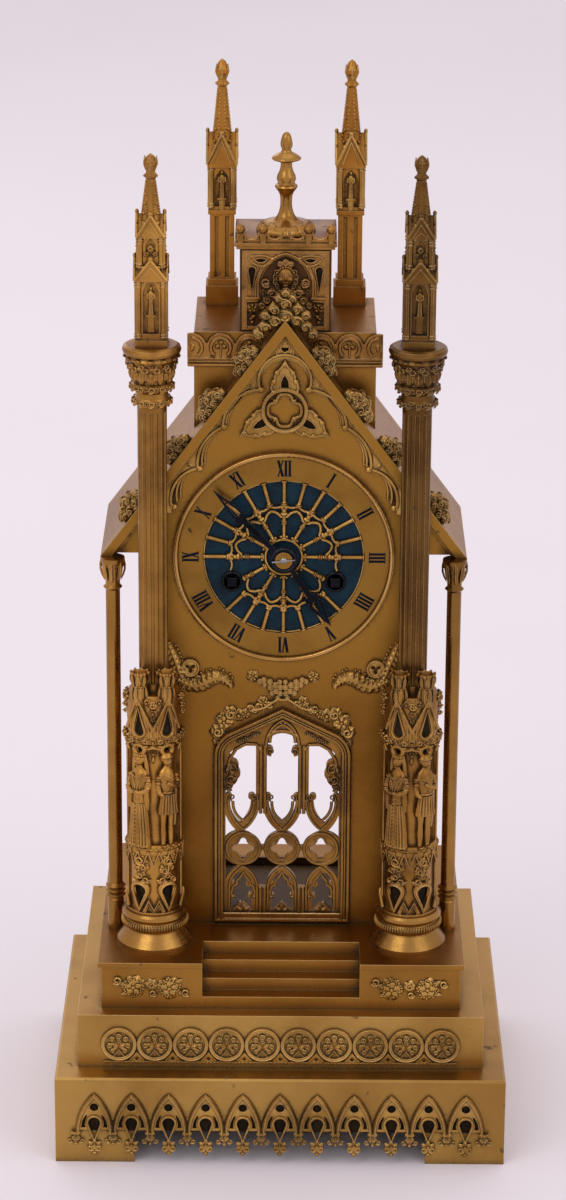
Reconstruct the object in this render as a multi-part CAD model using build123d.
import os
from math import acos, atan2, cos, degrees, hypot, radians, sin, sqrt
from build123d import *

os.makedirs("parts", exist_ok=True)

# Driving dimensions in millimetres. X runs right, Y runs back, Z runs up.

# Stepped base
plinth_width = 210.0
plinth_depth = 158.0
plinth_height = 43.4
middle_height = 26.6
platform_height = 23.6
tier_side_step = 10.25
tier_front_step = 10.8
platform_side_step = 9.35
platform_front_step = 8.15
base_wall = 3.0
ledge = 5.0
slab_thickness = 2.4
slab_overhang = 1.6
foot_span = 136.0
foot_height = 18.0
frieze_relief = 3.0
roundel_relief = 1.7
arch_count = 11
roundel_count = 10

# Stair let into the platform
stair_width = 73.4
riser_count = 4
tread = 7.7

# House front
facade_setback = 48.2
facade_thickness = 3.0
house_width = 120.0
eave_width = 168.2
eave_rise = 186.1
apex_rise = 298.4
cornice_width = 4.2
cornice_relief = 5.0
dial_rise = 184.8
wall_thickness = 2.4
house_depth = 66.9
rear_thickness = 3.0
roof_thickness = 2.2

# Window
door_width = 64.4
door_rise = 1.0
door_shoulder = 86.4
door_apex = 110.4
door_border = 4.7
door_relief = 3.5
tracery_thickness = 2.5
mullion = 4.6

# Dial
bezel_radius = 50.8
bezel_band = 2.1
bezel_relief = 3.6
chapter_thickness = 1.5
chapter_inner = 37.2
dial_hole = 46.0
backing_thickness = 0.8
rose_thickness = 1.3
winding_spread = 47.6
winding_drop = 12.2
winding_hole = 4.2
minute_length = 47.0
hour_length = 39.6
minute_angle = 316.0
hour_angle = 146.0

# Columns
column_spread = 119.0
column_setback = 18.3
foot_radius = 17.9
drum_radius = 13.4
shaft_radius = 6.7
drum_base_rise = 17.3
drum_rise = 126.4
shaft_rise = 263.4
capital_height = 28.0
colonnette_spread = 157.0
colonnette_radius = 3.3
colonnette_lead = 6.1

# Attic, turret and pinnacles
attic_width = 82.8
attic_rise = 288.9
attic_gap = 6.9
attic_wall = 2.2
attic_frieze_width = 88.8
attic_frieze_height = 15.6
turret_width = 41.4
turret_depth = 40.6
turret_height = 38.5
cornice_height = 3.0
cornice_overhang = 2.4
finial_height = 46.0
rear_pinnacle_spread = 59.2
rear_pinnacle_height = 114.4
front_pinnacle_height = 86.5

# Movement
plate_radius = 45.5
plate_thickness = 2.0
plate_space = 27.0
motion_space = 6.6
pillar_radius = 2.2
pivot_radius = 0.6
arbor_radius = 0.9
running = 0.05
barrel_radius = 17.0
barrel_arbor = 2.95
centre_module = 0.29
third_module = 0.24
great_module = 0.5
link_module = 0.45
motion_module = 0.4
escape_radius = 8.6
escape_rise = 17.0
pallet_rise = 30.0
pendulum_length = 119.7
bob_radius = 11.0
bob_thickness = 6.0
bell_radius = 24.0
bell_depth = 15.0
bell_wall = 1.6
rear_door_radius = 46.0
rear_door_thickness = 1.6
hinge_pin = 1.0

# Levels and planes that follow from the sizes above

z_middle = plinth_height
z_platform = z_middle + middle_height
z_deck = z_platform + platform_height
y_back = (plinth_depth + frieze_relief) / 2
y_plinth = y_back - plinth_depth
y_middle = y_plinth + tier_front_step + roundel_relief
y_slab = y_plinth + tier_front_step + platform_front_step
y_block = y_slab + slab_overhang
half_middle = plinth_width / 2 - tier_side_step
half_slab = half_middle - platform_side_step
half_block = half_slab - slab_overhang
half_stair = stair_width / 2
y_stair = y_block + tread * (riser_count - 1)

y_front = y_slab + facade_setback - slab_overhang
y_inner = y_front + facade_thickness
y_rear = y_inner + house_depth - rear_thickness
y_rear_face = y_rear + rear_thickness
half_house = house_width / 2
half_eave = eave_width / 2
z_eave = z_deck + eave_rise
z_apex = z_deck + apex_rise
z_dial = z_deck + dial_rise
slope = (z_apex - z_eave) / half_eave
rake = atan2(slope, 1)
y_attic = y_inner + attic_gap
half_attic = attic_width / 2
z_attic = z_deck + attic_rise

y_plate = y_front + facade_thickness - 2.2 + motion_space
y_between = y_plate + plate_thickness
y_second = y_between + plate_space
y_behind = y_second + plate_thickness


def roof_height(x):
    return z_apex - slope * abs(x)


def block(x0, x1, y0, y1, z0, z1):
    box = Box(x1 - x0, y1 - y0, z1 - z0)
    return Pos((x0 + x1) / 2, (y0 + y1) / 2, (z0 + z1) / 2) * box


def polygon(points):
    return make_face(Polyline(*points, close=True))


def flat(face, y_rear_side, thickness):
    return extrude(Plane.XZ.offset(-y_rear_side) * face, amount=thickness)


def turned(profile, x=0.0, y=0.0):
    face = Plane.XZ * polygon(profile)
    return Pos(x, y, 0) * revolve(face, axis=Axis.Z)


def rod(x, z, radius, y0, y1):
    return flat(Pos(x, z) * Circle(radius), y1, y1 - y0)


def both(solid):
    return Part() + [solid, mirror(solid, about=Plane.YZ)]


def pointed(x, z_foot, z_spring, z_top, half):
    rise = z_top - z_spring
    radius = (half * half + rise * rise) / (2 * half)
    turn = atan2(rise, radius - half) / 2
    bulge = half - radius + radius * cos(turn)
    lift = z_spring + radius * sin(turn)
    edges = [
        Line((x - half, z_spring), (x - half, z_foot)),
        Line((x - half, z_foot), (x + half, z_foot)),
        Line((x + half, z_foot), (x + half, z_spring)),
        ThreePointArc((x + half, z_spring), (x + bulge, lift), (x, z_top)),
        ThreePointArc((x, z_top), (x - bulge, lift), (x - half, z_spring)),
    ]
    return make_face(edges)


def tudor(z_foot, z_spring, z_top, half, inset=0.0):
    rise = z_top - z_spring
    corner = min(0.4 * half, 0.6 * rise)
    centre_x = half - corner
    turn = atan2(rise, -centre_x) - acos(corner / hypot(centre_x, rise))
    corner -= inset
    top = z_top - inset / sin(turn)
    edges = []
    for side in (-1, 1):
        wall_x = side * (half - inset)
        bend = []
        for a in (turn / 2, turn):
            bend.append((side * (centre_x + corner * cos(a)), z_spring + corner * sin(a)))
        edges.append(Line((wall_x, z_foot), (wall_x, z_spring)))
        edges.append(ThreePointArc((wall_x, z_spring), bend[0], bend[1]))
        edges.append(Line(bend[1], (0, top)))
    edges.append(Line((-half + inset, z_foot), (half - inset, z_foot)))
    return make_face(edges)


def teardrop(x, z_round, z_point, half):
    way = 1 if z_point > z_round else -1
    centre_z = z_round + way * half
    reach = abs(z_point - centre_z)
    touch_x = half * sqrt(1 - (half / reach) ** 2)
    touch_z = centre_z + way * half * half / reach
    edges = [
        ThreePointArc((x - touch_x, touch_z), (x, z_round), (x + touch_x, touch_z)),
        Line((x + touch_x, touch_z), (x, z_point)),
        Line((x, z_point), (x - touch_x, touch_z)),
    ]
    return make_face(edges)


def lobes(spots):
    return Sketch() + [Pos(x, z) * Circle(r) for x, z, r in spots]


def strip(x0, z0, x1, z1, width):
    length = hypot(x1 - x0, z1 - z0)
    tilt = degrees(atan2(z1 - z0, x1 - x0))
    return Pos((x0 + x1) / 2, (z0 + z1) / 2) * Rot(0, 0, tilt) * Rectangle(length, width)


def ring(x, z, outer, inner):
    return Pos(x, z) * (Circle(outer) - Circle(inner))


def quatrefoil(x, z, radius):
    reach = radius * 0.52
    spots = [(x + reach, z, radius * 0.45), (x - reach, z, radius * 0.45)]
    spots += [(x, z + reach, radius * 0.45), (x, z - reach, radius * 0.45)]
    spots += [(x, z, radius * 0.42)]
    return lobes(spots)


def polar(radius, angle):
    return radius * cos(radians(angle)), radius * sin(radians(angle))


def gear(teeth, module, angle, on_gap=False):
    pitch = 360 / teeth
    start = angle + (pitch / 2 if on_gap else 0)
    root = module * (teeth / 2 - 0.95)
    tip = module * (teeth / 2 + 0.55)
    points = []
    for i in range(teeth):
        middle = start + i * pitch
        points.append(polar(root, middle - 0.25 * pitch))
        points.append(polar(tip, middle - 0.11 * pitch))
        points.append(polar(tip, middle + 0.11 * pitch))
        points.append(polar(root, middle + 0.25 * pitch))
    return polygon(points)


def crossings(outer, inner, arms, width):
    windows = Circle(outer) - Circle(inner)
    for i in range(arms):
        windows -= Rot(0, 0, 360 * i / arms) * Pos(outer / 2, 0) * Rectangle(outer * 1.1, width)
    return windows


parts = {}

# Stepped base: three open-bottomed tiers

half_plinth = plinth_width / 2
plinth = block(-half_plinth, half_plinth, y_plinth, y_back, 0, z_middle)
plinth -= block(
    -half_plinth + base_wall,
    half_plinth - base_wall,
    y_plinth + base_wall,
    y_back - base_wall,
    0,
    z_middle - base_wall,
)
well = half_middle - base_wall - ledge
plinth -= block(
    -well,
    well,
    y_middle + base_wall + ledge,
    y_back - base_wall - ledge,
    z_middle - base_wall,
    z_middle,
)
plinth -= block(-foot_span / 2, foot_span / 2, y_plinth, y_plinth + base_wall, 0, foot_height)
top_edges = [e for e in plinth.edges() if abs(e.center().Z - z_middle) < 0.01]
rim = [e for e in top_edges if e.length > plinth_depth * 0.99]
parts["base_plinth"] = chamfer(rim, 0.8)

middle = block(-half_middle, half_middle, y_middle, y_back, z_middle, z_platform)
middle -= block(
    -half_middle + base_wall,
    half_middle - base_wall,
    y_middle + base_wall,
    y_back - base_wall,
    z_middle,
    z_platform - base_wall,
)
well = half_block - base_wall - ledge
middle -= block(
    -well,
    well,
    y_stair + base_wall + ledge,
    y_back - base_wall - ledge,
    z_platform - base_wall,
    z_platform,
)
parts["middle_plinth"] = middle

platform = block(-half_block, half_block, y_block, y_back, z_platform, z_deck - slab_thickness)
platform += block(-half_slab, half_slab, y_slab, y_back, z_deck - slab_thickness, z_deck)
platform -= block(-half_stair, half_stair, y_slab, y_stair, z_platform, z_deck)
hollow = block(
    -half_block + base_wall,
    half_block - base_wall,
    y_block + base_wall,
    y_back - base_wall,
    z_platform,
    z_deck - slab_thickness,
)
hollow -= block(
    -half_stair - base_wall,
    half_stair + base_wall,
    y_block,
    y_stair + base_wall,
    z_platform,
    z_deck,
)
parts["step_platform"] = platform - hollow

riser = platform_height / riser_count
steps = Part()
for i in range(riser_count - 1):
    steps += block(
        -half_stair,
        half_stair,
        y_block + i * tread,
        y_stair,
        z_platform + i * riser,
        z_platform + (i + 1) * riser,
    )
parts["stair_flight"] = steps

# Pierced arcade hung on the plinth front

bay = (plinth_width - 19.4) / arch_count
z_spring = plinth_height * 0.37
z_crown = plinth_height * 0.83
lattice = Sketch()
for i in range(arch_count):
    x = (i - (arch_count - 1) / 2) * bay
    inside = pointed(x, z_spring + 1.2, z_spring + 1.6, z_crown - 3.6, bay / 2 - 1.9)
    rib = pointed(x, z_spring - 0.6, z_spring, z_crown, bay / 2 + 0.15)
    rib -= pointed(x, z_spring - 0.6, z_spring, z_crown - 3.6, bay / 2 - 2.0)
    filled = inside - Pos(x, z_spring) * Circle(bay * 0.36)
    filled -= Pos(x, z_crown - 7.4) * Circle(2.0)
    for side in (-1, 1):
        filled -= Pos(x + side * 4.3, z_spring + 6.0) * Rot(0, 0, -side * 40) * Ellipse(2.0, 0.9)
    rib += filled
    rib += teardrop(x, z_spring + 8.8, z_spring - 3.6, 3.7)
    rib += Pos(x, z_spring - 3.9) * Rectangle(4.2, 1.0)
    rib += lobes(
        [
            (x - 2.2, z_spring - 6.2, 1.9),
            (x + 2.2, z_spring - 6.2, 1.9),
            (x, z_spring - 5.4, 1.9),
            (x - 1.5, z_spring - 8.4, 1.7),
            (x + 1.5, z_spring - 8.4, 1.7),
            (x, z_spring - 10.2, 1.4),
        ]
    )
    lattice += rib - teardrop(x, z_spring + 7.2, z_spring + 0.2, 2.2)
for i in range(arch_count + 1):
    x = (i - arch_count / 2) * bay
    tassel = Pos(x, z_spring - 0.4) * Rectangle(5.4, 1.3)
    tassel += lobes(
        [
            (x, z_spring - 2.2, 2.0),
            (x - 2.4, z_spring - 3.4, 1.5),
            (x + 2.4, z_spring - 3.4, 1.5),
            (x, z_spring - 4.2, 1.5),
        ]
    )
    lattice += tassel
parts["arcade_frieze"] = flat(lattice, y_plinth, frieze_relief)

# Linked roundels on the middle plinth

pitch = (2 * half_middle - 21.8) / roundel_count
z_roundel = z_middle + middle_height * 0.45
ring_radius = pitch / 2 + 0.12
lattice = Sketch()
for i in range(roundel_count):
    x = (i - (roundel_count - 1) / 2) * pitch
    lattice += ring(x, z_roundel, ring_radius, ring_radius - 1.9)
    leaf = lobes(
        [
            (x, z_roundel + 2.6, 2.5),
            (x - 2.9, z_roundel - 1.4, 2.4),
            (x + 2.9, z_roundel - 1.4, 2.4),
            (x, z_roundel - 0.4, 1.9),
        ]
    )
    leaf += strip(x, z_roundel - ring_radius + 0.8, x, z_roundel, 1.6)
    lattice += leaf
foot = z_roundel - ring_radius
for i in range(roundel_count + 1):
    x = (i - roundel_count / 2) * pitch
    lattice += polygon([(x - 3.4, foot - 0.3), (x + 3.4, foot - 0.3), (x, foot + 4.2)])
lattice += Pos(0, foot - 0.6) * Rectangle(pitch * roundel_count + 7, 1.5)
parts["roundel_frieze"] = flat(lattice, y_middle, roundel_relief)

# Flower mounts on the two platform blocks

mid_x = (half_stair + half_block) / 2
mid_z = z_platform + platform_height * 0.5 - 1.2
span = half_block - half_stair - 8
cluster = []
for side in (-1, 1):
    cx = mid_x + side * span * 0.24
    cluster.append((cx, mid_z, 2.6))
    for k in range(6):
        dx, dz = polar(3.6, 60 * k)
        cluster.append((cx + dx, mid_z + dz, 1.9))
    cluster.append((mid_x + side * span * 0.44, mid_z + 1.6, 1.9))
    cluster.append((mid_x + side * span * 0.47, mid_z - 1.8, 1.6))
cluster += [(mid_x, mid_z, 2.2), (mid_x, mid_z + 3.4, 1.7), (mid_x, mid_z - 3.4, 1.7)]
mount = lobes(cluster)
mount += strip(mid_x - span * 0.46, mid_z, mid_x + span * 0.46, mid_z, 1.7)
parts["platform_mounts"] = both(flat(mount, y_block, 1.6))

# House front with its gable, dial hole and window

half_door = door_width / 2
half_light = half_door - door_border
z_door = z_deck + door_rise
z_shoulder = z_deck + door_shoulder
z_door_top = z_deck + door_apex
outline = polygon(
    [
        (-half_house, z_deck),
        (half_house, z_deck),
        (half_house, z_eave),
        (half_eave, z_eave),
        (0, z_apex),
        (-half_eave, z_eave),
        (-half_house, z_eave),
    ]
)
facade = outline - Pos(0, z_dial) * Circle(dial_hole)
facade -= tudor(z_door + door_border - 1.0, z_shoulder, z_door_top, half_door, door_border - 1.0)
parts["facade_panel"] = flat(facade, y_inner, facade_thickness)

drop = cornice_width / cos(rake)
bar = polygon(
    [
        (half_eave, z_eave),
        (0, z_apex),
        (-half_eave, z_eave),
        (-half_eave + drop / slope, z_eave),
        (0, z_apex - drop),
        (half_eave - drop / slope, z_eave),
    ]
)
bead = polygon(
    [
        (half_eave - 1.4 * drop / slope, z_eave),
        (0, z_apex - 1.4 * drop),
        (-half_eave + 1.4 * drop / slope, z_eave),
        (-half_eave + drop / slope, z_eave),
        (0, z_apex - drop),
        (half_eave - drop / slope, z_eave),
    ]
)
cornice = flat(bar, y_front, cornice_relief)
cornice += flat(bead, y_front, cornice_relief * 0.45)
parts["raking_cornice"] = cornice

# Raised gable border with its lobed opening, and the rose inside

lobe_line = [
    ((51.5, 24.6), (47.6, 38.6), (39.5, 43.0)),
    ((39.5, 43.0), (36.2, 56.1), (28.1, 62.8)),
    ((28.1, 62.8), (21.7, 76.6), (11.1, 80.6)),
]
arcs = [ThreePointArc((11.1, z_dial + 80.6), (0, z_dial + 97.0), (-11.1, z_dial + 80.6))]
for start, through, end in lobe_line:
    for side in (-1, 1):
        ends = [(side * x, z_dial + z) for x, z in (start, through, end)]
        arcs.append(ThreePointArc(*ends))
sill = Polyline(
    (-51.5, z_dial + 24.6),
    (-51.5, z_dial + 21),
    (51.5, z_dial + 21),
    (51.5, z_dial + 24.6),
)
opening = make_face(arcs + [sill])
inner_drop = 1.4 * drop
field_foot = z_dial + 21.2
field_half = (z_apex - inner_drop - field_foot) / slope
field = polygon([(0, z_apex - inner_drop), (field_half, field_foot), (-field_half, field_foot)])
border_face = field - opening
border_face -= teardrop(0, z_dial + 99.6, z_dial + 104.2, 1.3)
roll = (Sketch() + [trace(arc, line_width=1.7) for arc in arcs]) & field
border_solid = flat(border_face, y_front, 1.8) + flat(roll, y_front, 2.6)

rose_z = z_dial + 70.6
rose = ring(0, rose_z, 10.6, 9.0)
rose += quatrefoil(0, rose_z, 9.4) - quatrefoil(0, rose_z, 7.6)
for angle in (90, 213, 327):
    loop = lobes([(-3.2, 12.6, 3.0), (3.2, 12.6, 3.0), (0, 15.8, 3.2)])
    loop += polygon([(-3.0, 15.6), (3.0, 15.6), (0, 22.7)])
    loop -= pointed(0, 11.4, 13.6, 17.4, 2.1)
    rose += Pos(0, rose_z) * Rot(0, 0, angle - 90) * (loop - Circle(9.2))
parts["gable_tracery"] = Part() + [border_solid, flat(rose, y_front, 2.0)]

# Curled leaves standing on the rakes and the bunch at the point


def on_rake(side, share, lift):
    x = half_eave * (1 - share)
    z = z_eave + (z_apex - z_eave) * share
    return side * (x + lift * sin(rake)), z + lift * cos(rake)


growth = Sketch()
for side in (-1, 1):
    for share, size in ((0.20, 1.0), (0.44, 0.9), (0.63, 1.0), (0.815, 0.9)):
        spots = []
        for step_share, lift, radius in (
            (-0.078, 1.6, 2.4),
            (-0.055, 3.4, 2.8),
            (-0.028, 4.4, 3.2),
            (0.0, 4.9, 3.3),
            (0.028, 4.4, 3.2),
            (0.055, 4.8, 2.7),
            (0.074, 2.6, 2.4),
            (0.0, 1.2, 3.2),
            (0.045, 1.2, 2.8),
            (-0.045, 1.2, 2.8),
        ):
            x, z = on_rake(side, share + step_share * size, lift * size)
            spots.append((x, z, radius * size))
        growth += lobes(spots)
bunch = [(0, z_apex + 1.0, 4.2), (0, z_apex + 6.8, 3.4), (0, z_apex + 11.6, 2.4)]
for side in (-1, 1):
    bunch += [
        (side * 4.6, z_apex - 1.4, 3.6),
        (side * 8.2, z_apex - 4.2, 3.0),
        (side * 5.2, z_apex + 4.6, 2.8),
        (side * 8.6, z_apex + 1.8, 2.3),
    ]
growth += lobes(bunch)
growth -= polygon([(half_eave, z_eave), (0, z_apex), (-half_eave, z_eave)])
parts["rake_crockets"] = flat(growth, y_inner - 0.6, facade_thickness + cornice_relief - 1.6)

# Scrolled corner mounts under the dial, and the swag over the window

corner = []
for x, z, r in (
    (52.0, -44.5, 3.0),
    (50.6, -49.4, 3.4),
    (48.4, -54.6, 3.8),
    (45.2, -59.4, 4.0),
    (41.0, -62.8, 3.8),
    (36.2, -63.8, 3.4),
    (31.6, -64.4, 3.0),
    (27.4, -64.0, 2.4),
    (24.6, -63.2, 1.8),
    (49.6, -60.4, 2.8),
    (45.0, -65.0, 2.6),
):
    corner.append((x, z_dial + z, r))
scroll = lobes(corner) - lobes([(45.2, z_dial - 59.4, 1.7), (38.6, z_dial - 63.2, 1.2)])
swag = []
for x, z, r in (
    (0.0, 3.2, 3.6),
    (0.0, 8.0, 3.0),
    (0.0, 12.4, 2.0),
    (4.6, 5.4, 3.0),
    (8.6, 6.8, 2.6),
    (12.2, 7.4, 2.2),
    (15.2, 8.8, 1.7),
):
    swag.append((x, z_door_top + z, r))
    if x:
        swag.append((-x, z_door_top + z, r))
for side in (-1, 1):
    for share in (0.34, 0.56, 0.76, 0.92):
        x = half_door * share
        z = z_door_top - (z_door_top - z_shoulder) * share * share * 0.78
        swag.append((side * x, z + 0.6, 3.0))
        swag.append((side * (x + 1.6), z + 3.4, 2.1))
leafage = lobes(swag) - tudor(z_door, z_shoulder, z_door_top, half_door)
mounts = both(flat(scroll, y_front, 2.6))
parts["spandrel_mounts"] = Part() + [mounts, flat(leafage, y_front, 2.4)]

# Window frame and its pierced tracery

border = tudor(z_door, z_shoulder, z_door_top, half_door)
border -= tudor(z_door + door_border, z_shoulder, z_door_top, half_door, door_border)
bead = tudor(z_door + 1.4, z_shoulder, z_door_top, half_door, 1.4)
bead -= tudor(z_door + door_border - 1.2, z_shoulder, z_door_top, half_door, door_border - 1.2)
frame = flat(border, y_front, door_relief * 0.7)
frame += flat(bead, y_front, door_relief)
parts["door_frame"] = frame

edge = half_light + 0.8
tall = (z_door_top - z_door) / 109.4
sill_top = z_door + 5.2 * tall
light = (2 * half_light - 2 * mullion) / 3
step_x = light + mullion
head = z_door + 62.6 * tall
sheet_face = tudor(z_door + door_border - 0.8, z_shoulder, z_door_top, half_door, door_border - 0.8)
sheet = sheet_face
sheet -= Pos(0, (sill_top + head) / 2) * Rectangle(2 * edge - 3.2, head - sill_top)
lancet_top = z_door + 101.4 * tall
sheet -= pointed(0, head - 1, lancet_top - 11.5, lancet_top, light / 2 - 0.2)
for side in (-1, 1):
    top = z_door + 89.6 * tall
    near = step_x - light / 2 + 0.2
    far = half_light - 0.9
    rounded = make_face(
        [
            Line((side * near, head - 1), (side * near, top)),
            Line((side * near, top), (side * (near + 5), top)),
            ThreePointArc(
                (side * (near + 5), top),
                (side * (near + 0.66 * (far - near) + 2.2), top - 3.0),
                (side * far, top - 11),
            ),
            Line((side * far, top - 11), (side * far, head - 1)),
            Line((side * far, head - 1), (side * near, head - 1)),
        ]
    )
    sheet -= rounded
scrolls = []
for x, z, r in (
    (-3.6, 79.5, 3.4),
    (-4.2, 75.6, 3.6),
    (-3.2, 72.4, 3.0),
    (-2.0, 69.6, 2.4),
    (-1.2, 83.0, 2.4),
):
    for side in (-1, 1):
        scrolls.append((side * (half_light + x), z_door + z * tall, r))
sheet += lobes(scrolls)
for side in (-1, 1):
    sheet += lobes([(side * (light / 2 - 1.2), z_door + 87.4 * tall, 2.1)])
eyebrow = ThreePointArc(
    (-light / 2, lancet_top - 8.0),
    (0, lancet_top - 4.4),
    (light / 2, lancet_top - 8.0),
)
sheet += trace(eyebrow, line_width=1.9)
for k in (-1, 0, 1):
    x = k * step_x
    wide = min(light / 2 + mullion / 2 - 0.5, half_light + 0.4 - abs(x))
    foot = sill_top - 0.4
    arch = pointed(x, foot, z_door + 17.5 * tall, z_door + 28.0 * tall, 7.5)
    arch -= pointed(x, foot, z_door + 17.5 * tall, z_door + 24.8 * tall, 5.5)
    cusps = []
    for side in (-1, 1):
        cusps.append((x + side * 4.9, z_door + 12.6 * tall, 1.3))
        cusps.append((x + side * 4.4, z_door + 19.0 * tall, 1.7))
    arch += lobes(cusps)
    arch += polygon([(x - 4.6, foot), (x + 4.6, foot), (x, foot + 4.6)])
    arch += Pos(x, z_door + 37.4 * tall) * Circle(8.6) - quatrefoil(x, z_door + 37.4 * tall, 6.9)
    arch += strip(x, z_door + 26.4 * tall, x, z_door + 30.4 * tall, 3.0)
    knot = z_door + 46.8 * tall
    fall = pointed(x, head + 0.6, head - 1.0, knot - 2.0, wide)
    fall -= pointed(x, head + 0.6, head - 1.0, knot + 3.4, wide - 3.0)
    arch += fall
    arch += strip(x, knot - 4.0, x, knot + 1.0, 3.0)
    for side in (-1, 1):
        arch += lobes([(x + side * (wide - 2.6), head + 1.2, 1.6)])
    sheet += arch
for side in (-1, 1):
    x = side * step_x / 2
    sheet += strip(x, foot, x, z_door + 17.5 * tall, step_x - 14.4)
    sheet += strip(x - 1.6, z_door + 37.4 * tall, x + 1.6, z_door + 37.4 * tall, 2.4)
    sheet += strip(x, head - 5, x, head + 3, mullion)
sheet &= sheet_face
parts["door_tracery"] = flat(sheet, y_front + tracery_thickness, tracery_thickness)

# House walls, rear panel and roof

under = roof_thickness / cos(rake)
wall = polygon(
    [
        (half_house - wall_thickness, z_deck),
        (half_house, z_deck),
        (half_house, roof_height(half_house) - under),
        (half_house - wall_thickness, roof_height(half_house - wall_thickness) - under),
    ]
)
parts["body_walls"] = both(flat(wall, y_rear, y_rear - y_inner))

inner_attic = half_attic - attic_wall
z_seat = roof_height(inner_attic)
back = polygon(
    [
        (-half_house, z_deck),
        (half_house, z_deck),
        (half_house, z_eave),
        (half_eave, z_eave),
        (inner_attic, z_seat),
        (-inner_attic, z_seat),
        (-half_eave, z_eave),
        (-half_house, z_eave),
    ]
)
door_seat = rear_door_radius - 3
back -= Pos(0, z_dial) * Circle(door_seat)
access_top = z_dial - door_seat - 8
back -= pointed(0, z_deck + 4, access_top - 40, access_top, half_house - 12)
rear = flat(back, y_rear_face, rear_thickness)
x_hinge = -rear_door_radius - 2.6
y_hinge = y_rear_face + 1.9
for low, high in ((z_dial + 6.4, z_dial + 12.0), (z_dial - 12.0, z_dial - 6.4)):
    rear += turned([(0, low), (1.6, low), (1.6, high), (0, high)], x_hinge, y_hinge)
    rear += block(x_hinge - 1.6, x_hinge + 1.6, y_rear_face, y_hinge, low, high)
low = z_dial - 12
high = z_dial + 12
rear += turned([(0, low), (hinge_pin, low), (hinge_pin, high), (0, high)], x_hinge, y_hinge)
parts["rear_panel"] = rear

skin = polygon(
    [
        (half_eave, z_eave),
        (0, z_apex),
        (-half_eave, z_eave),
        (-half_eave + under / slope, z_eave),
        (0, z_apex - under),
        (half_eave - under / slope, z_eave),
    ]
)
roof = flat(skin, y_rear, y_rear - y_inner)
roof -= block(-inner_attic, inner_attic, y_attic, y_rear, z_eave, z_apex)
half_turret = turret_width / 2
roof -= block(-half_turret, half_turret, y_attic - 2.6, y_rear, z_attic - 0.4, z_apex + 1)
parts["roof_slopes"] = roof

# Attic block behind the gable, with its cresting

attic = block(-half_attic, half_attic, y_attic, y_rear_face, z_seat - 5, z_attic)
attic -= block(
    -inner_attic,
    inner_attic,
    y_attic + attic_wall,
    y_rear_face - attic_wall,
    z_seat - 5,
    z_attic - attic_wall,
)
foot_cut = polygon(
    [
        (-half_eave, z_eave),
        (-inner_attic, z_seat),
        (inner_attic, z_seat),
        (half_eave, z_eave),
        (half_eave, z_eave - 40),
        (-half_eave, z_eave - 40),
    ]
)
attic -= flat(foot_cut, y_rear_face + 1, y_rear_face + 2 - y_attic)
parts["attic_block"] = attic

half_crest = attic_frieze_width / 2
z_crest = z_attic - attic_frieze_height - 0.2
crest_pitch = attic_frieze_width / 6.8
z_disc = z_crest + attic_frieze_height - crest_pitch / 2 - 0.9
crest = Pos(0, z_crest + 3.6) * Rectangle(attic_frieze_width, 7.2)
carving = Pos(0, z_crest + 0.8) * Rectangle(attic_frieze_width, 1.6)
carving += Pos(0, z_crest + 3.0) * Rectangle(attic_frieze_width, 0.9)
for i in range(8):
    x = (i - 3.5) * crest_pitch
    crest += Pos(x, z_disc) * Circle(crest_pitch / 2 + 0.6)
    carving += ring(x, z_disc, crest_pitch / 2 + 0.2, crest_pitch / 2 - 1.0)
    carving += lobes([(x, z_disc + 1.7, 1.5)])
    carving += lobes([(x - 1.6, z_disc - 0.7, 1.5), (x + 1.6, z_disc - 0.7, 1.5)])
    carving += strip(x, z_crest + 3, x, z_disc - 0.6, 1.2)
panel = Rectangle(attic_frieze_width, attic_frieze_height)
crest &= Pos(0, z_crest + attic_frieze_height / 2) * panel
crest -= polygon([(half_eave, z_eave), (0, z_apex), (-half_eave, z_eave)])
parts["attic_frieze"] = flat(crest, y_attic, 1.3) + flat(carving & crest, y_attic, 2.0)

# Turret on the attic

y_turret = y_attic + 1.4
y_turret_back = y_turret + turret_depth
z_turret = z_attic + turret_height
turret = block(-half_turret, half_turret, y_turret, y_turret_back, z_attic, z_turret)
turret -= block(
    -half_turret + attic_wall,
    half_turret - attic_wall,
    y_turret + attic_wall,
    y_turret_back - attic_wall,
    z_attic,
    z_turret,
)
parts["turret_body"] = turret

panel = Pos(0, z_attic + turret_height / 2) * Rectangle(turret_width - 2, turret_height - 1)
arch_spring = z_attic + turret_height * 0.42
panel -= pointed(0, z_attic + 4, arch_spring, z_attic + turret_height - 4, half_turret - 5)
relief = []
for x, z, r in (
    (0.0, 0.30, 4.4),
    (0.0, 0.46, 3.6),
    (0.0, 0.60, 2.6),
    (0.0, 0.72, 1.8),
    (5.4, 0.24, 3.0),
    (9.2, 0.30, 2.4),
    (6.4, 0.40, 2.6),
    (9.6, 0.46, 2.0),
    (5.0, 0.55, 2.0),
):
    relief.append((x, z_attic + turret_height * z, r))
    if x:
        relief.append((-x, z_attic + turret_height * z, r))
scrolls = lobes(relief) + strip(0, z_attic + 1, 0, z_attic + turret_height * 0.3, 6)
parts["turret_relief"] = flat(panel, y_turret, 1.2) + flat(scrolls, y_turret, 2.2)

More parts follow.
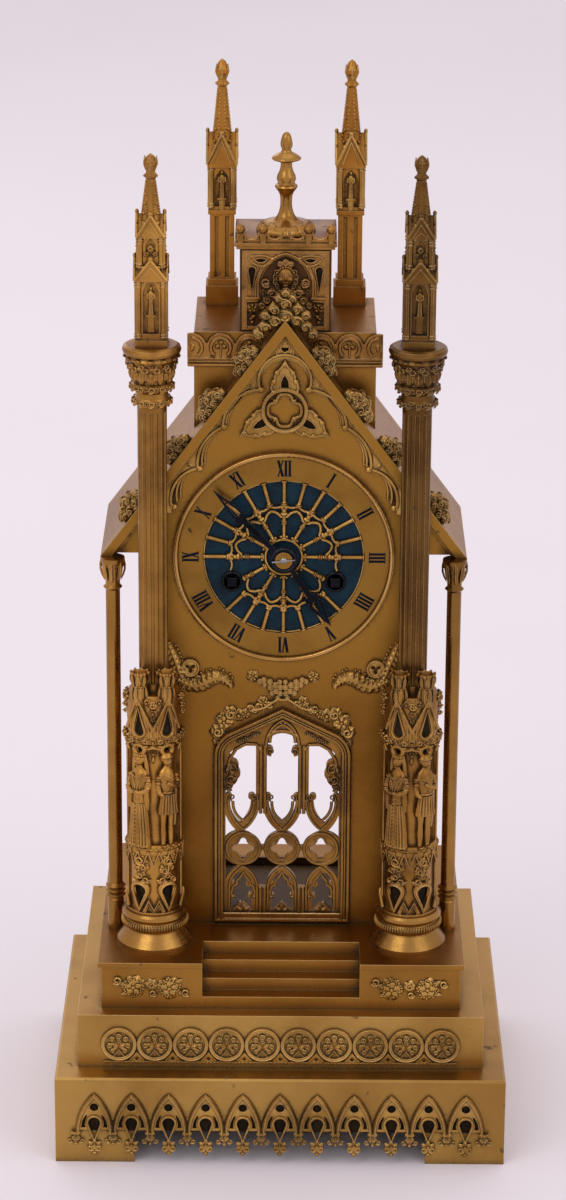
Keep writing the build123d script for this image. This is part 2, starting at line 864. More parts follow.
over = cornice_overhang
lid = block(
    -half_turret - over,
    half_turret + over,
    y_turret - over,
    y_turret_back + over,
    z_turret,
    z_turret + cornice_height,
)
z_lid = z_turret + cornice_height
knob = turned(
    [
        (0, z_lid),
        (2.0, z_lid),
        (1.5, z_lid + 1.4),
        (1.3, z_lid + 4.2),
        (2.2, z_lid + 5.6),
        (2.1, z_lid + 6.9),
        (1.1, z_lid + 8.0),
        (0, z_lid + 8.3),
    ]
)
spread_x = half_turret + over - 2.6
mid_y = (y_turret + y_turret_back) / 2
reach_y = turret_depth / 2 + over - 2.6
knobs = []
for k in (-2, -1, 1, 2):
    knobs.append(Pos(spread_x * k / 2, mid_y - reach_y, 0) * knob)
    knobs.append(Pos(spread_x * k / 2, mid_y + reach_y, 0) * knob)
for k in (-1, 0, 1):
    knobs.append(Pos(-spread_x, mid_y + reach_y * k / 2, 0) * knob)
    knobs.append(Pos(spread_x, mid_y + reach_y * k / 2, 0) * knob)
parts["turret_cornice"] = lid + knobs

grow = finial_height / 46.0
bulb = []
for r, z in (
    (0, 0),
    (11.6, 0),
    (11.6, 1.8),
    (10.6, 3.6),
    (8.6, 5.0),
    (5.0, 6.4),
    (3.5, 8.8),
    (2.7, 12.6),
    (2.9, 16.8),
    (4.0, 19.0),
    (5.2, 20.9),
    (4.0, 22.4),
    (4.4, 24.8),
    (3.3, 27.8),
    (2.6, 30.6),
    (2.7, 32.0),
    (6.6, 33.4),
    (6.5, 34.3),
    (2.7, 36.6),
    (2.2, 38.2),
    (2.8, 40.4),
    (2.0, 44.0),
    (0.9, 45.7),
    (0, 46.0),
):
    bulb.append((r, z_lid + z * grow))
urn = turned(bulb, 0, mid_y)
petals = Circle(10.0) + lobes([(*polar(11.0, 30 * i), 3.3) for i in range(12)])
urn += Pos(0, mid_y, z_lid) * extrude(petals, amount=3.4 * grow)
parts["urn_finial"] = urn


# Pinnacles: a square stem, two rings of gablets and a beaded spire


def gablets(half, z_foot, z_shoulder_line, z_peak, lip):
    across = polygon(
        [
            (-half - lip, z_foot),
            (half + lip, z_foot),
            (half + lip, z_shoulder_line),
            (0, z_peak),
            (-half - lip, z_shoulder_line),
        ]
    )
    one = flat(across, half + lip, 2 * (half + lip))
    return one + Rot(0, 0, 90) * one


def spire(half, z_foot, z_neck, z_tip):
    cone = polygon([(0, z_foot), (half, z_foot), (2.1, z_neck - 1.5), (0, z_neck - 1.5)])
    solid = revolve(Plane.XZ * cone, axis=Axis.Z)
    head = turned(
        [
            (0, z_neck - 2.0),
            (2.1, z_neck - 2.0),
            (2.8, z_neck - 1.0),
            (2.7, z_neck + 0.2),
            (2.0, z_neck + 1.0),
            (2.2, z_neck + 2.4),
            (3.3, z_neck + 4.6),
            (3.2, z_neck + 6.2),
            (1.6, z_tip - 1.2),
            (0, z_tip),
        ]
    )
    solid += head
    count = 5
    for i in range(count):
        share = (i + 0.5) / count
        z = z_foot + (z_neck - 2 - z_foot) * share
        r = half + (2.1 - half) * share
        for k in range(4):
            dx, dy = polar(r, 45 + 90 * k)
            solid += Pos(dx, dy, z) * Sphere(0.95 - 0.2 * share)
    return solid


k = rear_pinnacle_height / 114.4
z0 = z_attic
stem = block(-7.5, 7.5, -7.5, 7.5, z0, z0 + 9.4 * k)
stem += block(-6.5, 6.5, -6.5, 6.5, z0 + 9.4 * k, z0 + 12.4 * k)
shaft = block(-5.6, 5.6, -5.6, 5.6, z0 + 10.4 * k, z0 + 66 * k)
for i in range(4):
    for x in (-2.4, 2.4):
        groove = block(x - 0.9, x + 0.9, -5.6, -4.6, z0 + 13 * k, z0 + 42 * k)
        shaft -= Rot(0, 0, 90 * i) * groove
    niche = flat(pointed(0, z0 + 46.5 * k, z0 + 58 * k, z0 + 64 * k, 3.4), -3.6, 2.0)
    shaft -= Rot(0, 0, 90 * i) * niche
stem += shaft
stem += block(-6.4, 6.4, -6.4, 6.4, z0 + 43 * k, z0 + 45 * k)
stem += gablets(5.6, z0 + 65 * k, z0 + 68 * k, z0 + 80.5 * k, 1.1)
stem += spire(4.9, z0 + 74 * k, z0 + 103.5 * k, z0 + 114.4 * k)
y_pinnacle = y_rear_face - 7.9
parts["rear_pinnacles"] = both(Pos(-rear_pinnacle_spread / 2, y_pinnacle, 0) * stem)

# Columns: flared foot, figured drum, fluted shaft, bell capital and pinnacle

half_columns = column_spread / 2
y_column = y_front - column_setback
z_drum = z_deck + drum_base_rise
z_drum_top = z_deck + drum_rise
z_shaft_top = z_deck + shaft_rise
z_capital_top = z_shaft_top + capital_height
flare = foot_radius / 17.9
foot_solid = turned(
    [
        (0, z_deck),
        (foot_radius, z_deck),
        (foot_radius, z_deck + 1.6),
        (15.7 * flare, z_deck + 5.0),
        (13.6 * flare, z_deck + 7.8),
        (14.2 * flare, z_deck + 8.6),
        (15.0 * flare, z_deck + 10.0),
        (15.0 * flare, z_deck + 11.4),
        (14.0 * flare, z_deck + 12.8),
        (15.0 * flare, z_deck + 13.4),
        (15.6 * flare, z_deck + 14.8),
        (15.4 * flare, z_deck + 16.2),
        (14.4 * flare, z_drum),
        (0, z_drum),
    ]
)
parts["column_feet"] = both(Pos(-half_columns, y_column, 0) * foot_solid)

tall = z_drum_top - z_drum
core = drum_radius - 1.8
z_ledge = z_drum + tall * 0.265
z_band = z_drum + tall * 0.775
drum = turned(
    [
        (0, z_drum),
        (drum_radius, z_drum),
        (drum_radius, z_drum + 1.4),
        (core, z_drum + 2.2),
        (core, z_ledge - 2),
        (drum_radius - 0.6, z_ledge),
        (drum_radius + 0.4, z_ledge + 1.6),
        (drum_radius + 0.4, z_ledge + 4.6),
        (drum_radius - 0.8, z_ledge + 6.2),
        (core - 1.6, z_ledge + 6.2),
        (core - 1.6, z_band - 1),
        (drum_radius - 0.8, z_band),
        (drum_radius - 0.8, z_drum_top - 2),
        (core - 1.6, z_drum_top),
        (0, z_drum_top),
    ]
)
bays = (-30, 30, 150, 210)
extras = []
for i, angle in enumerate(bays):
    turn = Rot(0, 0, angle)
    loop = teardrop(0, z_drum + 15.4, z_drum + 3.8, 3.7)
    loop -= teardrop(0, z_drum + 13.6, z_drum + 7.0, 2.2)
    loop += lobes([(0, z_drum + 17.2, 2.6)])
    loop += lobes([(-1.8, z_drum + 20.2, 2.2), (1.8, z_drum + 20.2, 2.2)])
    loop += lobes([(0, z_drum + 23.4, 3.0), (0, z_ledge - 1.4, 3.4)])
    extras.append(turn * flat(loop, -core + 2.2, 4.4))
    gable = polygon(
        [
            (-6.3, z_band + 3.0),
            (-6.3, z_band + 7.6),
            (0, z_drum_top + 0.6),
            (6.3, z_band + 7.6),
            (6.3, z_band + 3.0),
            (4.2, z_band + 3.0),
            (0, z_band + 0.4),
            (-4.2, z_band + 3.0),
        ]
    )
    gable -= pointed(0, z_band + 5.0, z_band + 10.0, z_band + 17.4, 2.4)
    shell = Cylinder(drum_radius + 0.5, 60) - Cylinder(drum_radius - 1.6, 60)
    shell = Pos(0, 0, (z_band + z_drum_top) / 2) * shell
    extras.append(turn * (flat(gable, -4, 14) & shell))
    zigzag = Sketch()
    for x in (-2.2, 2.2):
        foot_line = z_drum + 1.0
        zigzag += polygon(
            [(x - 2.6, foot_line), (x, foot_line + 5.0), (x + 2.6, foot_line), (x, foot_line + 2.2)]
        )
    band = Pos(0, 0, z_drum + 3.5) * (Cylinder(drum_radius - 0.7, 12) - Cylinder(core - 0.6, 12))
    extras.append(Rot(0, 0, 90 * i) * (flat(zigzag, -4, 14) & band))
    crown = turned(
        [
            (0, z_drum_top - 4),
            (3.4, z_drum_top - 4),
            (3.4, z_drum_top + 1.4),
            (3.0, z_drum_top + 5.4),
            (3.4, z_drum_top + 8.6),
            (4.1, z_drum_top + 11.6),
            (3.9, z_drum_top + 12.8),
            (0, z_drum_top + 12.8),
        ]
    )
    extras.append(turn * Pos(0, -drum_radius + 3.6, 0) * crown)
drum += extras
drum -= Pos(0, 0, z_drum_top + 10) * Cylinder(shaft_radius + 0.05, 20)


def figure(broad):
    h = z_band - 1 - (z_ledge + 6.2)
    z = z_ledge + 6.2
    robe = turned(
        [
            (0, z),
            (4.4 * broad, z),
            (3.4 * broad, z + 0.30 * h),
            (2.7 * broad, z + 0.54 * h),
            (3.6, z + 0.70 * h),
            (3.3, z + 0.76 * h),
            (1.3, z + 0.80 * h),
            (1.2, z + 0.83 * h),
            (0, z + 0.83 * h),
        ]
    )
    robe += Pos(0, 0, z + 0.885 * h) * Sphere(2.6)
    for side in (-1, 1):
        robe += Pos(side * 3.2, -0.6, z + 0.70 * h) * Sphere(1.6)
        sleeve = Cylinder(1.3, 0.22 * h)
        robe += Pos(side * 3.4, -1.2, z + 0.59 * h) * Rot(-8, side * 6, 0) * sleeve
        robe += Pos(side * 1.7, -3.2, z + 0.49 * h) * Rot(0, side * 62, 0) * Cylinder(1.1, 4.4)
    robe += Pos(0, -3.0, z + 0.10 * h) * Rot(20, 0, 0) * Box(3.2 * broad, 1.8, 0.2 * h)
    return robe & block(-9, 9, -6, 9, z, z_band - 1)


for i, angle in enumerate(bays):
    drum += Rot(0, 0, angle) * Pos(0, -core + 0.2, 0) * figure(0.84 if i % 2 else 1.0)
drum_left = Pos(-half_columns, y_column, 0) * drum
drum_right = Pos(half_columns, y_column, 0) * drum
parts["column_drums"] = Part() + [drum_left, drum_right]

shaft = Cylinder(shaft_radius, z_shaft_top - z_drum_top)
shaft = Pos(0, 0, (z_drum_top + z_shaft_top) / 2) * shaft
low = z_drum_top + 4
high = z_shaft_top - 3
for i in range(12):
    dx, dy = polar(shaft_radius + 0.35, 30 * i)
    shaft -= Pos(dx, dy, (low + high) / 2) * Cylinder(1.05, high - low)
parts["column_shafts"] = both(Pos(-half_columns, y_column, 0) * shaft)

k = capital_height / 28.0
capital = turned(
    [
        (0, z_shaft_top),
        (7.5, z_shaft_top),
        (8.5, z_shaft_top + 1.6 * k),
        (7.5, z_shaft_top + 3.6 * k),
        (7.2, z_shaft_top + 6.0 * k),
        (9.5, z_shaft_top + 8.0 * k),
        (9.5, z_shaft_top + 9.4 * k),
        (7.8, z_shaft_top + 11.0 * k),
        (8.2, z_shaft_top + 14.0 * k),
        (9.6, z_shaft_top + 18.0 * k),
        (12.0, z_shaft_top + 22.0 * k),
        (11.4, z_shaft_top + 23.2 * k),
        (12.8, z_shaft_top + 24.2 * k),
        (13.3, z_shaft_top + 25.6 * k),
        (12.8, z_shaft_top + 27.2 * k),
        (11.4, z_capital_top),
        (0, z_capital_top),
    ]
)
leaves = []
for i in range(8):
    dx, dy = polar(8.6, 45 * i)
    leaves.append(Pos(dx, dy, z_shaft_top + 15.4 * k) * Sphere(1.7))
capital += leaves
parts["column_capitals"] = both(Pos(-half_columns, y_column, 0) * capital)

k = front_pinnacle_height / 86.5
z0 = z_capital_top
stem = block(-7.2, 7.2, -7.2, 7.2, z0, z0 + 3.2 * k)
shaft = block(-6.3, 6.3, -6.3, 6.3, z0 + 3.2 * k, z0 + 33 * k)
for i in range(4):
    niche = flat(pointed(0, z0 + 6 * k, z0 + 24 * k, z0 + 30.5 * k, 3.6), -3.9, 2.4)
    shaft -= Rot(0, 0, 90 * i) * niche
stem += shaft
stem += gablets(6.3, z0 + 30 * k, z0 + 31 * k, z0 + 39.5 * k, 0.9)
upper = block(-5.4, 5.4, -5.4, 5.4, z0 + 33 * k, z0 + 50 * k)
for i in range(4):
    niche = flat(pointed(0, z0 + 41.5 * k, z0 + 45.5 * k, z0 + 49.4 * k, 2.2), -4.0, 1.4)
    upper -= Rot(0, 0, 90 * i) * niche
stem += upper
stem += gablets(5.4, z0 + 49.5 * k, z0 + 50.5 * k, z0 + 59.5 * k, 0.7)
stem += spire(4.9, z0 + 54 * k, z0 + 77 * k, z0 + 86.5 * k)
parts["front_pinnacles"] = both(Pos(-half_columns, y_column, 0) * stem)

k = eave_rise / 186.1
c = colonnette_radius
slim = turned(
    [
        (0, z_deck),
        (c + 0.5, z_deck),
        (c + 0.5, z_deck + 15 * k),
        (c, z_deck + 16 * k),
        (c + 1.4, z_deck + 17.2 * k),
        (c, z_deck + 18.4 * k),
        (c + 1.4, z_deck + 19.6 * k),
        (c, z_deck + 20.8 * k),
        (c + 1.4, z_deck + 22 * k),
        (c, z_deck + 23.4 * k),
        (c, z_eave - 15.4 * k),
        (c + 1.1, z_eave - 14.2 * k),
        (c, z_eave - 13.0 * k),
        (c + 0.3, z_eave - 8 * k),
        (c + 2.3, z_eave - 1.6 * k),
        (c + 2.3, z_eave),
        (0, z_eave),
    ]
)
tips = []
for i in range(8):
    dx, dy = polar(c + 1.2, 45 * i)
    tips.append(Pos(dx, dy, z_eave - 3.4 * k) * Sphere(1.1))
slim += tips
y_slim = y_front - colonnette_lead
parts["colonnettes"] = both(Pos(-colonnette_spread / 2, y_slim, 0) * slim)

# Dial

bezel = ring(0, z_dial, bezel_radius, bezel_radius - bezel_band)
bezel_solid = flat(bezel, y_front, bezel_relief)
lip = [e for e in bezel_solid.edges() if abs(e.center().Y - (y_front - bezel_relief)) < 0.01]
parts["dial_bezel"] = fillet(lip, bezel_band * 0.42)

chapter_outer = bezel_radius - bezel_band - 0.1
chapter = ring(0, z_dial, chapter_outer, chapter_inner)
parts["chapter_ring"] = flat(chapter, y_front, chapter_thickness)

half_wind = winding_spread / 2
z_wind = z_dial - winding_drop
backing = Pos(0, z_dial) * Circle(chapter_inner + 1.6) - Pos(0, z_dial) * Circle(3.0)
backing -= Pos(half_wind, z_wind) * Circle(winding_hole)
backing -= Pos(-half_wind, z_wind) * Circle(winding_hole)
parts["dial_backing"] = flat(backing, y_front + backing_thickness, backing_thickness)

rose_outer = chapter_inner - 0.1
rose = ring(0, z_dial, 9.6, 7.8) + ring(0, z_dial, rose_outer, rose_outer - 1.6)
for i in range(12):
    x0, w0 = polar(9.0, 30 * i)
    x1, w1 = polar(22.6, 30 * i)
    rose += strip(x0, z_dial + w0, x1, z_dial + w1, 1.2)
    dx, dz = polar(23.4, 30 * i + 15)
    rose += ring(dx, z_dial + dz, 5.9, 4.6) - Pos(0, z_dial) * Circle(22.4)
    rose += lobes([(x1, z_dial + w1, 1.5)])
for i in range(24):
    x0, w0 = polar(27.6, 15 * i)
    x1, w1 = polar(rose_outer - 0.8, 15 * i)
    rose += strip(x0, z_dial + w0, x1, z_dial + w1, 1.1)
for x in (-half_wind, half_wind):
    rose += Pos(x, z_wind) * Circle(winding_hole + 1.3)
for x in (-half_wind, half_wind):
    rose -= Pos(x, z_wind) * Circle(winding_hole)
parts["rose_tracery"] = flat(rose, y_front, rose_thickness)

# Hands

y_hour = y_front - 3.2
y_minute = y_hour - 1.7


def hand(length, hole, swell_at, swell):
    neck = length * swell_at - swell
    blade = Circle(hole + 2.6)
    blade += polygon([(-0.9, 0), (0.9, 0), (1.5, neck + 0.6), (-1.5, neck + 0.6)])
    blade += lobes([(-1.9, neck - 0.4, 1.5), (1.9, neck - 0.4, 1.5)])
    blade += teardrop(0, neck, length, swell)
    blade -= teardrop(0, neck + swell * 0.5, length * 0.88, swell * 0.55)
    return blade - Circle(hole)


minute_face = Pos(0, z_dial) * Rot(0, 0, -minute_angle) * hand(minute_length, 1.6, 0.66, 2.7)
minute_hand = flat(minute_face, y_minute, 0.8)
parts["minute_hand"] = minute_hand
hour_face = Pos(0, z_dial) * Rot(0, 0, -hour_angle) * hand(hour_length, 2.4, 0.68, 3.3)
parts["hour_hand"] = flat(hour_face, y_hour, 0.8)

# Train: positions of the arbors measured from the dial centre


def meet(ax, az, ra, bx, bz, rb, side):
    gap = hypot(bx - ax, bz - az)
    along_line = (ra * ra - rb * rb + gap * gap) / (2 * gap)
    off = sqrt(ra * ra - along_line * along_line)
    ux, uz = (bx - ax) / gap, (bz - az) / gap
    return ax + ux * along_line - side * uz * off, az + uz * along_line + side * ux * off


def bearing(a, b):
    return degrees(atan2(b[1] - a[1], b[0] - a[0]))


centre = (0.0, 0.0)
going = (half_wind, -winding_drop)
striking = (-half_wind, -winding_drop)
escape = (0.0, escape_rise)
pallet = (0.0, pallet_rise)
great_mesh = great_module * (72 + 12) / 2 + 0.05
link_mesh = link_module * (60 + 12) / 2 + 0.05
centre_mesh = centre_module * (96 + 8) / 2 + 0.04
third_mesh = third_module * (96 + 8) / 2 + 0.04
link = meet(*centre, link_mesh, *going, great_mesh, 1)
third = meet(*centre, centre_mesh, *escape, third_mesh, 1)
pin = (striking[0] + polar(great_mesh, 100)[0], striking[1] + polar(great_mesh, 100)[1])
fly_mesh = great_module * (48 + 8) / 2 + 0.05
fly = (pin[0] + polar(fly_mesh, 60)[0], pin[1] + polar(fly_mesh, 60)[1])
motion_mesh = motion_module * (12 + 36) / 2 + 0.04
hour_module = (motion_mesh - 0.04) * 2 / 50
motion = polar(motion_mesh, 60)
hammer_at = (-36.0, 22.0)
bell_at = (14.0, -8.0)


def wheel(spot, face, y0, y1):
    return flat(Pos(spot[0], z_dial + spot[1]) * face, y1, y1 - y0)


def spindle(spot, radius, y0, y1):
    return rod(spot[0], z_dial + spot[1], radius, y0, y1)


def arbor(spot):
    body = spindle(spot, arbor_radius, y_between + 0.3, y_second - 0.3)
    return body + spindle(spot, pivot_radius, y_plate, y_behind)


great_y0 = y_second - 6.5
great_y1 = great_y0 + 2.5
link_y0 = y_second - 3.3
third_y0 = y_second - 1.6
front_y0 = y_between + 1.2
drum_y0 = y_between + 4.5


def barrel(spot, toward):
    face = gear(72, great_module, bearing(spot, toward))
    solid = wheel(spot, face, great_y0, great_y1)
    solid += spindle(spot, barrel_radius, drum_y0, great_y0)
    solid += spindle(spot, 4.4, drum_y0 - 1.0, great_y1 + 1.0)
    return solid - spindle(spot, barrel_arbor + running, drum_y0 - 1.0, great_y1 + 1.0)


parts["going_barrel"] = barrel(going, link)
parts["strike_barrel"] = barrel(striking, pin)

square = 2 * barrel_arbor * 0.68


def winder(spot):
    solid = spindle(spot, barrel_arbor, y_plate - 0.6, y_second - 0.3)
    solid += spindle(spot, barrel_arbor - 0.9, y_second - 0.3, y_behind)
    solid += wheel(spot, gear(24, 0.45, 0), y_plate - 2.4, y_plate - 0.6)
    key = wheel(spot, Rectangle(square, square), y_front - 2.0, y_plate - 2.4)
    return solid + key


parts["going_arbor"] = winder(going)
parts["strike_arbor"] = winder(striking)

link_face = gear(60, link_module, bearing(link, centre)) - crossings(10.8, 3.4, 5, 2.2)
link_solid = arbor(link) + wheel(link, link_face, link_y0, link_y0 + 1.0)
link_pinion = gear(12, great_module, bearing(link, going), True)
link_solid += wheel(link, link_pinion, great_y0 - 0.4, great_y1 + 0.4)
parts["link_wheel"] = link_solid

centre_face = gear(96, centre_module, bearing(centre, third)) - crossings(11.6, 3.4, 5, 2.0)
centre_solid = arbor(centre) + wheel(centre, centre_face, front_y0, front_y0 + 1.4)
centre_pinion = gear(12, link_module, bearing(centre, link), True)
centre_solid += wheel(centre, centre_pinion, link_y0 - 0.3, link_y0 + 1.3)
centre_solid += spindle(centre, 1.6, y_minute - 1.6, y_plate - 0.3)
cannon_y1 = y_plate - 0.4
cannon = gear(12, motion_module, bearing(centre, motion))
centre_solid += wheel(centre, cannon, cannon_y1 - 1.5, cannon_y1)
centre_solid += spindle(centre, pivot_radius, y_plate - 0.4, y_plate)
parts["centre_wheel"] = centre_solid

collet = ring(0, z_dial, 4.0, 1.65)
parts["hand_collet"] = flat(collet, y_minute - 0.8, 0.8)

motion_face = gear(36, motion_module, bearing(motion, centre), True)
motion_solid = wheel(motion, motion_face, cannon_y1 - 1.3, cannon_y1 - 0.2)
motion_pinion = gear(10, hour_module, bearing(motion, centre))
motion_solid += wheel(motion, motion_pinion, cannon_y1 - 3.3, cannon_y1 - 1.3)
motion_solid -= spindle(motion, 0.8 + running, cannon_y1 - 3.3, cannon_y1)
parts["motion_wheel"] = motion_solid

hour_gear = gear(40, hour_module, bearing(centre, motion), True)
hour_solid = wheel(centre, hour_gear, cannon_y1 - 3.1, cannon_y1 - 2.1)
hour_solid += spindle(centre, 2.4, y_hour - 0.8, cannon_y1 - 2.1)
hour_solid -= spindle(centre, 1.6 + running, y_hour - 0.8, cannon_y1 - 2.1)
parts["hour_wheel"] = hour_solid

third_face = gear(96, third_module, bearing(third, escape)) - crossings(9.6, 2.8, 4, 1.8)
third_solid = arbor(third) + wheel(third, third_face, third_y0, third_y0 + 1.0)
third_pinion = gear(8, centre_module, bearing(third, centre), True)
thin = spindle(third, 0.7, y_between + 0.3, front_y0 + 2.2)
third_solid -= spindle(third, arbor_radius, y_between + 0.3, front_y0 + 2.2)
third_solid += thin
third_solid += wheel(third, third_pinion, front_y0 - 0.4, front_y0 + 1.8)
parts["third_wheel"] = third_solid


def escape_face(radius):
    points = []
    for i in range(36):
        points.append(polar(radius - 1.7, 10 * i))
        points.append(polar(radius, 10 * i + 1.2))
        points.append(polar(radius, 10 * i + 2.0))
        points.append(polar(radius - 1.7, 10 * i + 4.0))
    return polygon(points)


escape_y0 = y_between + 14.5
escape_solid = spindle(escape, arbor_radius, y_between + 0.3, third_y0 - 1.0)
escape_solid += spindle(escape, 0.55, y_plate, y_behind)
escape_disc = escape_face(escape_radius) - crossings(6.2, 2.2, 4, 1.4)
escape_solid += wheel(escape, escape_disc, escape_y0, escape_y0 + 1.0)
escape_pinion = gear(8, third_module, bearing(escape, third), True)
escape_solid += wheel(escape, escape_pinion, third_y0 - 0.3, third_y0 + 1.3)
parts["escape_wheel"] = escape_solid

# Anchor with its crutch, pendulum and the bracket that carries both

y_bracket = y_behind + 4.0
y_rod = y_bracket + 3.0
anchor = Circle(2.4)
for side in (-1, 1):
    arm_x = side * (escape_radius * 0.86)
    arm_z = escape_rise - pallet_rise + escape_radius * 0.86
    anchor += strip(0, 0, arm_x, arm_z, 2.0)
    anchor += Pos(arm_x, arm_z) * Rot(0, 0, side * 45) * Rectangle(1.6, 2.4)
anchor_face = Pos(pallet[0], z_dial + pallet[1]) * anchor
anchor_face -= Pos(escape[0], z_dial + escape[1]) * Circle(escape_radius + 0.8)
anchor_solid = flat(anchor_face, escape_y0 + 1.2, 1.4)
anchor_solid += spindle(pallet, arbor_radius, y_between + 0.3, y_bracket - 0.3)
anchor_solid += spindle(pallet, pivot_radius, y_plate, y_bracket + 1.0)
crutch_drop = 44.0
crutch_z = z_dial + pallet_rise - crutch_drop
crutch = strip(0, z_dial + pallet_rise, 0, crutch_z, 1.4)
anchor_solid += flat(crutch, y_behind + 2.6, 1.2)
for side in (-1, 1):
    prong_x = side * 1.9
    anchor_solid += block(
        prong_x - 0.45,
        prong_x + 0.45,
        y_behind + 1.4,
        y_rod + 1.6,
        crutch_z - 1.0,
        crutch_z + 1.0,
    )
anchor_solid += block(-2.35, 2.35, y_behind + 1.4, y_behind + 2.6, crutch_z - 1.0, crutch_z + 1.0)
parts["pallets"] = anchor_solid

z_pivot = z_dial + pallet_rise
bob_z = z_pivot - pendulum_length
hang = strip(0, z_pivot, 0, bob_z, 1.8) - Pos(0, z_pivot) * Circle(2.0)
hang += ring(0, z_pivot, 2.4, 0.8 + running)
pendulum = flat(hang, y_rod + 0.8, 1.6)
y_mid_bob = y_rod
lens = polygon(
    [
        (0, -bob_thickness / 2),
        (bob_radius * 0.6, -bob_thickness * 0.4),
        (bob_radius, -0.6),
        (bob_radius, 0.6),
        (bob_radius * 0.6, bob_thickness * 0.4),
        (0, bob_thickness / 2),
    ]
)
bob = Rot(90, 0, 0) * revolve(Plane.XZ * lens, axis=Axis.Z)
pendulum += Pos(0, y_mid_bob, bob_z) * bob
nut_z = bob_z - bob_radius - 3.4
pendulum += turned(
    [
        (0, nut_z),
        (1.9, nut_z),
        (1.9, nut_z + 2.0),
        (0.7, nut_z + 2.0),
        (0.7, bob_z),
        (0, bob_z),
    ],
    0,
    y_mid_bob,
)
parts["pendulum"] = pendulum

bracket = polygon(
    [
        (-13, z_pivot - 4),
        (13, z_pivot - 4),
        (13, z_pivot + 3.4),
        (4, z_pivot + 6),
        (-4, z_pivot + 6),
        (-13, z_pivot + 3.4),
    ]
)
bracket -= Pos(0, z_pivot) * Circle(pivot_radius + running)
bridge = flat(bracket, y_bracket + 1.4, 1.4)
for side in (-1, 1):
    leg_x = side * 11.4
    bridge += block(leg_x - 1.6, leg_x + 1.6, y_behind, y_bracket, z_pivot - 4, z_pivot + 3.4)
bridge += rod(0, z_pivot, 0.8, y_bracket + 1.4, y_rod + 3.0)
bridge += rod(0, z_pivot, 2.2, y_bracket + 1.0, y_rod - 1.2)
bridge -= rod(0, z_pivot, pivot_radius + running, y_bracket, y_bracket + 1.2)
parts["suspension_bracket"] = bridge

# Strike work, hammer and bell

pin_face = gear(48, great_module, bearing(pin, fly)) - crossings(8.0, 3.4, 4, 2.2)
pin_solid = arbor(pin) + wheel(pin, pin_face, front_y0, front_y0 + 1.4)
pin_pinion = gear(12, great_module, bearing(pin, striking), True)
pin_solid += wheel(pin, pin_pinion, great_y0 - 0.4, great_y1 + 0.4)
for i in range(8):
    dx, dz = polar(9.2, 45 * i)
    pin_solid += spindle((pin[0] + dx, pin[1] + dz), 0.5, front_y0 + 1.4, front_y0 + 3.0)
parts["pin_wheel"] = pin_solid

fly_pinion = gear(8, great_module, bearing(fly, pin), True)
fly_solid = arbor(fly) + wheel(fly, fly_pinion, front_y0 - 0.3, front_y0 + 1.7)
fly_solid += wheel(fly, Rectangle(12, 0.8), front_y0 + 5, front_y0 + 15)
fly_solid += spindle(fly, 1.5, front_y0 + 5, front_y0 + 15)
parts["fly"] = fly_solid

y_strike = y_behind + 11.5
y_bell = y_behind + 10.5
head_gap = 0.8
head_radius = 2.4
bell_x, bell_z = bell_at
strike_angle = 150.0
reach = bell_radius + head_gap + head_radius
hx, hz = polar(reach, strike_angle)
head = (bell_x + hx, bell_z + hz)
hammer = spindle(hammer_at, arbor_radius, y_between + 0.3, y_strike + 1.2)
hammer += spindle(hammer_at, pivot_radius, y_plate, y_between + 0.3)
arm = strip(hammer_at[0], z_dial + hammer_at[1], head[0], z_dial + head[1], 1.7)
hammer += flat(arm, y_strike + 1.2, 1.6)
hammer += spindle(head, head_radius, y_strike - 1.0, y_strike + 4.0)
hammer += spindle(hammer_at, 2.2, y_strike - 1.4, y_strike + 1.2)
tail_x, tail_z = hammer_at[0] + 3.2, hammer_at[1] - 3.2
tail = strip(hammer_at[0], z_dial + hammer_at[1], tail_x, z_dial + tail_z, 1.4)
hammer += flat(tail, front_y0 + 3.0, 1.4)
parts["hammer"] = hammer

bell_profile = []
for i in range(13):
    share = i / 12
    bell_profile.append((bell_radius * sqrt(1 - 0.98 * share * share), bell_depth * share))
outer_line = bell_profile[:-1] + [(bell_radius * 0.2, bell_depth), (0, bell_depth)]
inner_line = []
for r, y in outer_line[:-1]:
    inner_line.append((max(r - bell_wall, 0.6), max(0.0, y - bell_wall * (y / bell_depth))))
inner_line.append((0, bell_depth - bell_wall))
shell_face = polygon(outer_line + [(r, y) for r, y in reversed(inner_line)])
shell = revolve(Plane.XZ * shell_face, axis=Axis.Z)
stud = 1.6
y_crown = y_bell + bell_depth
cup = Pos(bell_x, y_bell, z_dial + bell_z) * Rot(-90, 0, 0) * shell
parts["bell"] = cup - rod(bell_x, z_dial + bell_z, stud, y_bell, y_crown + 1)

post = rod(bell_x, z_dial + bell_z, 2.6, y_behind, y_crown - bell_wall)
post += rod(bell_x, z_dial + bell_z, 4.6, y_behind, y_behind + 1.6)
post += rod(bell_x, z_dial + bell_z, stud - 0.05, y_crown - bell_wall, y_crown + 2.6)
post += flat(Pos(bell_x, z_dial + bell_z) * RegularPolygon(3.2, 6), y_crown + 2.2, 2.2)
parts["bell_post"] = post

# Plates, pillars, dial feet and straps

pillar_spots = [polar(41.3, a) for a in (4, 62, 118, 176, 270)]
pivots = [link, third, escape, pin, fly]
plate = Pos(0, z_dial) * Circle(plate_radius)
front_face = plate
for spot in pivots + [pallet, hammer_at, centre]:
    hole = 0.55 if spot == escape else pivot_radius
    front_face -= Pos(spot[0], z_dial + spot[1]) * Circle(hole + running)
for spot in (going, striking):
    front_face -= Pos(spot[0], z_dial + spot[1]) * Circle(barrel_arbor + running)
front_plate = flat(front_face, y_between, plate_thickness)
front_plate += spindle(motion, 0.8, cannon_y1 - 3.8, y_plate)
parts["front_plate"] = front_plate

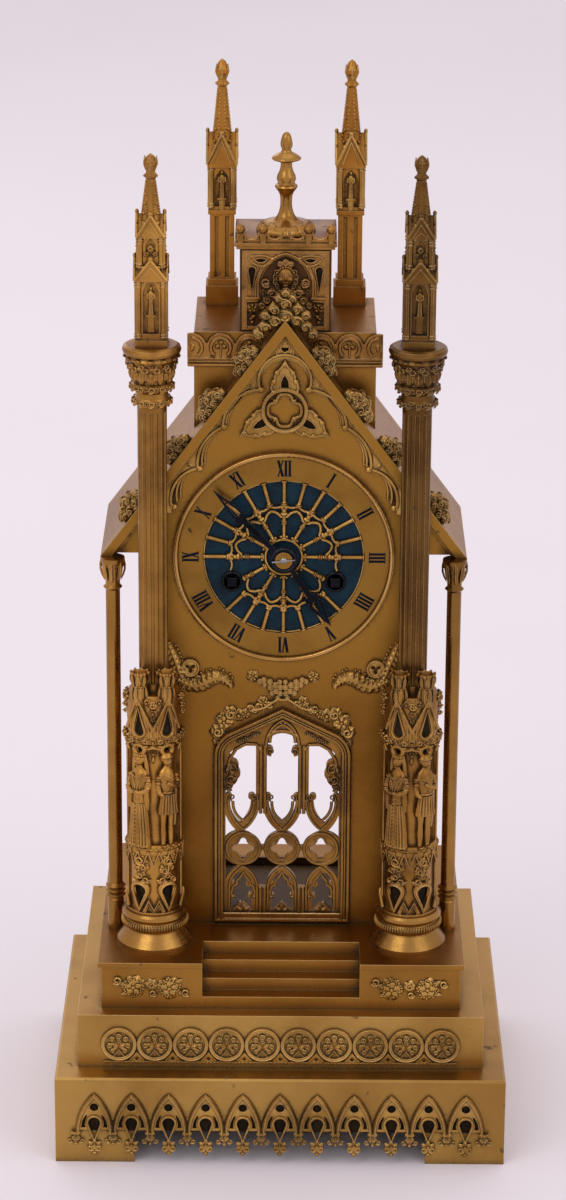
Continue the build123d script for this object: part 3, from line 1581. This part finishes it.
back_face = plate
for spot in pivots + [centre]:
    hole = 0.55 if spot == escape else pivot_radius
    back_face -= Pos(spot[0], z_dial + spot[1]) * Circle(hole + running)
for spot in (going, striking):
    back_face -= Pos(spot[0], z_dial + spot[1]) * Circle(barrel_arbor - 0.9 + running)
back_face -= Pos(pallet[0], z_dial + pallet[1]) * Circle(arbor_radius + 1.2)
back_face -= Pos(hammer_at[0], z_dial + hammer_at[1]) * Circle(arbor_radius + running)
parts["back_plate"] = flat(back_face, y_behind, plate_thickness)

pillars = []
for spot in pillar_spots:
    solid = spindle(spot, pillar_radius, y_between, y_second)
    solid += spindle(spot, pillar_radius + 0.9, y_between + 11, y_between + 16)
    pillars.append(solid)
foot_ring = chapter_inner + 3.2
for a in (40, 160, 280):
    pillars.append(spindle(polar(foot_ring, a), 1.4, y_front, y_plate))
parts["plate_pillars"] = Part() + pillars

strap_x = dial_hole + 1.0
strap = block(strap_x, strap_x + 1.5, y_inner, y_rear, z_dial - 4, z_dial + 4)
parts["bezel_straps"] = both(strap)

# Rear door on its pin hinge

y_leaf = y_rear_face + 0.4
leaf = Pos(0, z_dial) * Circle(rear_door_radius)
for i in range(12):
    slot = Pos(0, z_dial) * Rot(0, 0, 30 * i) * pointed(0, 16, 26, 33, 3.2)
    leaf -= slot
leaf -= quatrefoil(0, z_dial, 10.5)
tongue = Rectangle(rear_door_radius + x_hinge + 8.6, 12)
leaf += Pos((x_hinge - rear_door_radius + 6) / 2, z_dial) * tongue
leaf -= Pos(x_hinge, z_dial) * Rectangle(2 * hinge_pin + 0.6, 30)
y_leaf_back = y_leaf + rear_door_thickness
door = flat(leaf, y_leaf_back, rear_door_thickness)
knob_at = rear_door_radius - 4
door += rod(knob_at, z_dial, 1.4, y_leaf_back, y_leaf_back + 3.0)
door += rod(knob_at, z_dial, 2.6, y_leaf_back + 3.0, y_leaf_back + 5.4)
low = z_dial - 6
high = z_dial + 6
bore = hinge_pin + running
door += turned([(0, low), (1.6, low), (1.6, high), (0, high)], x_hinge, y_hinge)
door -= turned([(0, low), (bore, low), (bore, high), (0, high)], x_hinge, y_hinge)
parts["rear_door"] = door

for name, solid in parts.items():
    export_step(solid, f"parts/{name}.step")
